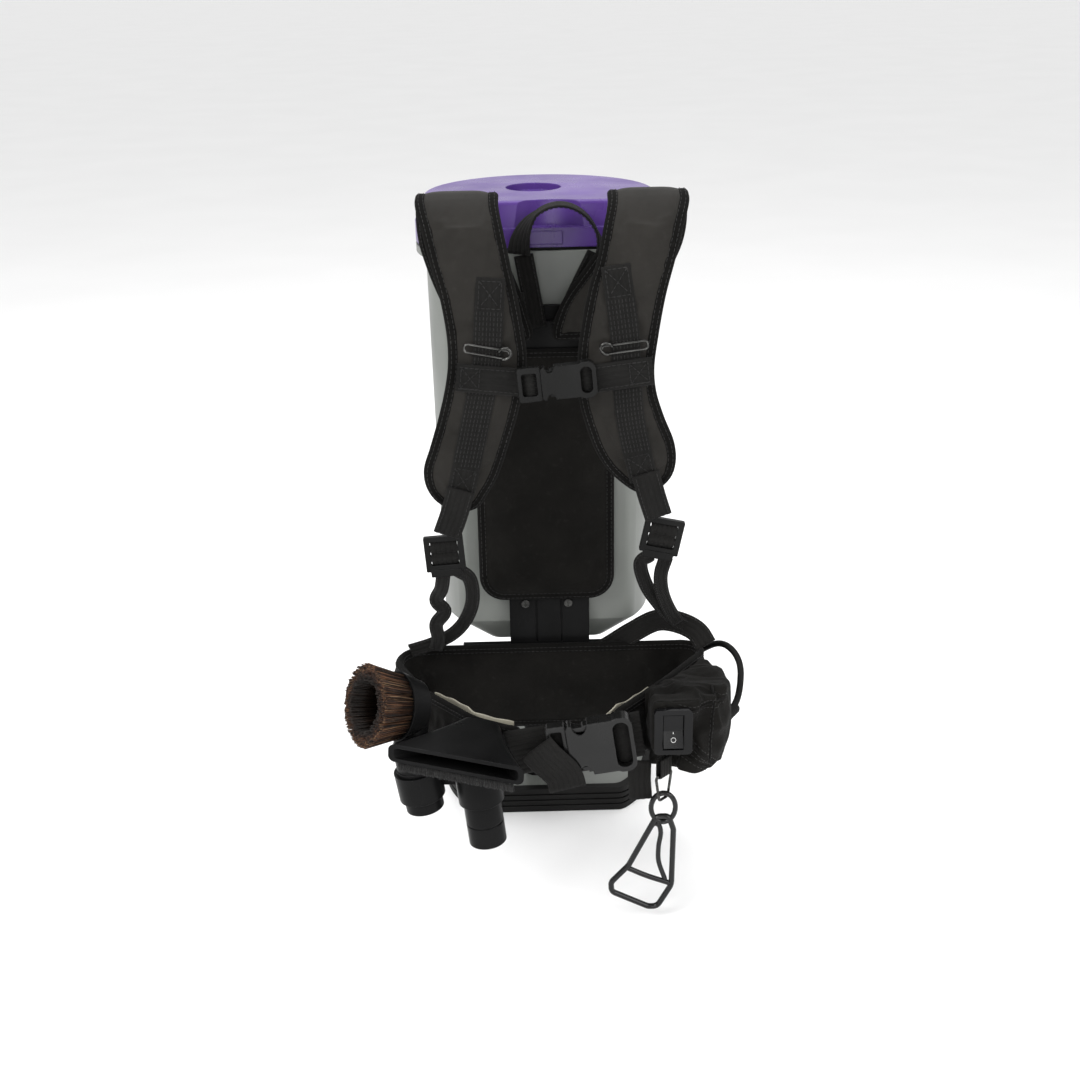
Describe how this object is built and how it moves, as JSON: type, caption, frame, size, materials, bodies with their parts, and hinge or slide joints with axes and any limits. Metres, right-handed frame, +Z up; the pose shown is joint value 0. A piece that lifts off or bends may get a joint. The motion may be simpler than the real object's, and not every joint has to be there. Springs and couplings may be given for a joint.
{
  "type": "backpack vacuum cleaner",
  "caption": "Backpack vacuum cleaner: D-shaped canister with lift-off lid and hose port, motor, filters, harness, buckled waist belt with switch, cord hook and stowed tools.",
  "frame": {"origin": "centre of the flat underside of the foot, on the floor", "axes": "+Z up; the harness and its wearer are on the -Y side; +X is to the right seen from the wearer's side looking at the harness"},
  "size_m": [0.3789, 0.4842, 0.6604],
  "materials": {
    "grey_plastic": "satin",
    "purple_plastic": "gloss",
    "black_plastic": "satin",
    "black_gloss": "gloss",
    "webbing": "woven",
    "pad_fabric": "matt weave",
    "rubber": "matt",
    "khaki_plastic": "satin",
    "steel": "plain",
    "dark_steel": "gloss black",
    "iron": "laminated",
    "brass": "plain",
    "filter_cloth": "cloth",
    "bag_paper": "plain",
    "bag_card": "plain",
    "bristle_hair": "natural hair"
  },
  "bodies": {
    "body": {"adjuster_web_left": "webbing", "adjuster_web_right": "webbing", "back_pad": "pad_fabric", "back_plate": "black_plastic", "bag_collar": "bag_card", "belt_stiffener": "khaki_plastic", "cable_gland": "rubber", "canister": "grey_plastic", "cloth_filter": "filter_cloth", "dome_filter": "filter_cloth", "exhaust_filter": "filter_cloth", "exhaust_grille": "grey_plastic", "fan_shroud": "black_plastic", "filter_bag": "bag_paper", "foot_bumper": "rubber", "foot_cover": "grey_plastic", "foot_plate": "grey_plastic", "handle_web": "webbing", "hook_web": "webbing", "ladder_locks": "black_plastic", "motor_bearings": "steel", "motor_can": "steel", "motor_seals": "rubber", "motor_stator": "iron", "neck": "black_plastic", "partition": "grey_plastic", "rivets": "steel", "shoulder_strap_left": "pad_fabric", "shoulder_strap_right": "pad_fabric", "spine_plate": "black_plastic", "spine_screws": "steel", "sternum_buckle_socket": "black_plastic", "sternum_webs": "webbing", "strap_rings": "dark_steel", "strap_web_left": "webbing", "strap_web_right": "webbing", "switch_cable": "rubber", "switch_contacts": "brass", "switch_housing": "black_gloss", "switch_pod": "pad_fabric", "tool_holder": "black_plastic", "waist_belt": "pad_fabric", "waist_buckle_socket": "black_plastic", "waist_web_left": "webbing", "waist_web_right": "webbing", "yoke_plate": "black_plastic"},
    "lid": {"lid": "purple_plastic", "lid_gasket": "rubber"},
    "rotor": {"motor_rotor": "iron", "motor_fan": "black_plastic"},
    "brush": {"dust_brush": "black_plastic", "brush_bristles": "bristle_hair"},
    "upholstery": {"upholstery_tool": "black_plastic", "lint_strip": "rubber"},
    "rocker": {"switch_rocker": "black_gloss"},
    "waist_prongs": {"waist_buckle_prongs": "black_plastic"},
    "chest_prongs": {"sternum_buckle_prongs": "black_plastic"},
    "link": {"hook_link": "dark_steel"},
    "hook": {"cord_hook": "dark_steel"},
    "handle": {"carry_handle": "webbing"}
  },
  "joints": [
    {"name": "lid_lift", "type": "slide", "parent": "body", "child": "lid", "axis": [0, 0, 1], "range_m": [0, 0.1]},
    {"name": "rotor_spin", "type": "hinge", "parent": "body", "child": "rotor", "pos_m": [0, 0, 0.23], "axis": [0, 0, 1], "continuous": true},
    {"name": "brush_lift", "type": "slide", "parent": "body", "child": "brush", "axis": [-0.1564, 0, 0.9877], "range_m": [0, 0.06]},
    {"name": "upholstery_lift", "type": "slide", "parent": "body", "child": "upholstery", "axis": [-0.1045, 0, 0.9945], "range_m": [0, 0.08]},
    {"name": "rocker_tilt", "type": "hinge", "parent": "body", "child": "rocker", "pos_m": [0.106, -0.279, 0.204], "axis": [1, 0, 0], "range_deg": [0, 16]},
    {"name": "waist_unclip", "type": "slide", "parent": "body", "child": "waist_prongs", "axis": [-0.9903, 0, -0.1392], "range_m": [0, 0.03]},
    {"name": "chest_unclip", "type": "slide", "parent": "body", "child": "chest_prongs", "axis": [-0.9962, 0, -0.0872], "range_m": [0, 0.022]},
    {"name": "link_swing", "type": "hinge", "parent": "body", "child": "link", "pos_m": [0.099, -0.276, 0.157], "axis": [0.7071, 0.7071, 0], "range_deg": [-25, 6.5]},
    {"name": "hook_swing", "type": "hinge", "parent": "link", "child": "hook", "pos_m": [0.099, -0.276, 0.131], "axis": [0, 1, 0], "range_deg": [-30, 30]},
    {"name": "handle_fold", "type": "hinge", "parent": "body", "child": "handle", "pos_m": [0.017, -0.084, 0.591], "axis": [1, 0, 0], "range_deg": [0, 18]}
  ]
}
